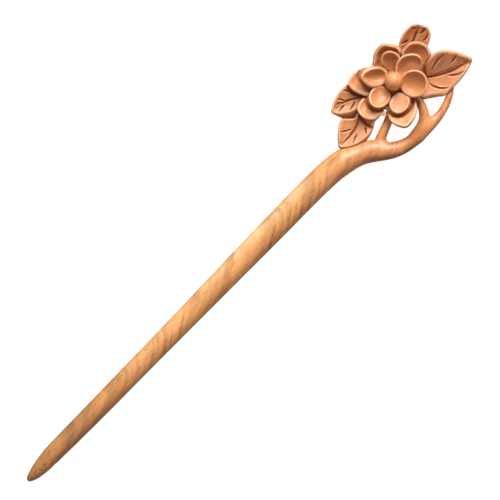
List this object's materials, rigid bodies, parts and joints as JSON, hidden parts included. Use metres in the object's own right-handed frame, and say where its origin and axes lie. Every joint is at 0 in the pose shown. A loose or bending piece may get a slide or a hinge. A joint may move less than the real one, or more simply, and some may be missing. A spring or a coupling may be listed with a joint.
{
  "type": "carved wooden hair pin",
  "caption": "Round tapered wooden hair pin whose stem curves into a branch of twigs under a carved two-tiered flower with a ball centre and leaves.",
  "frame": {"origin": "centre of the length and width, on the surface the pin lies on, back down", "axes": "+X along the shaft from the point to the flower, +Y to the side the flower leans to, +Z out of the flower's face"},
  "size_m": [0.1802, 0.029, 0.0115],
  "materials": {
    "shaft_wood": "satin",
    "flower_wood": "satin",
    "leaf_wood": "satin"
  },
  "bodies": {
    "root": {"stem": "shaft_wood", "boss": "flower_wood", "petal_upper_1": "flower_wood", "petal_upper_2": "flower_wood", "petal_upper_3": "flower_wood", "petal_upper_4": "flower_wood", "petal_upper_5": "flower_wood", "petal_upper_6": "flower_wood", "petal_lower_1": "flower_wood", "petal_lower_2": "flower_wood", "petal_lower_3": "flower_wood", "petal_lower_4": "flower_wood", "petal_lower_5": "flower_wood", "receptacle": "flower_wood", "leaf_bottom": "leaf_wood", "leaf_left": "leaf_wood", "leaf_right": "leaf_wood", "leaf_top": "leaf_wood"}
  },
  "joints": []
}
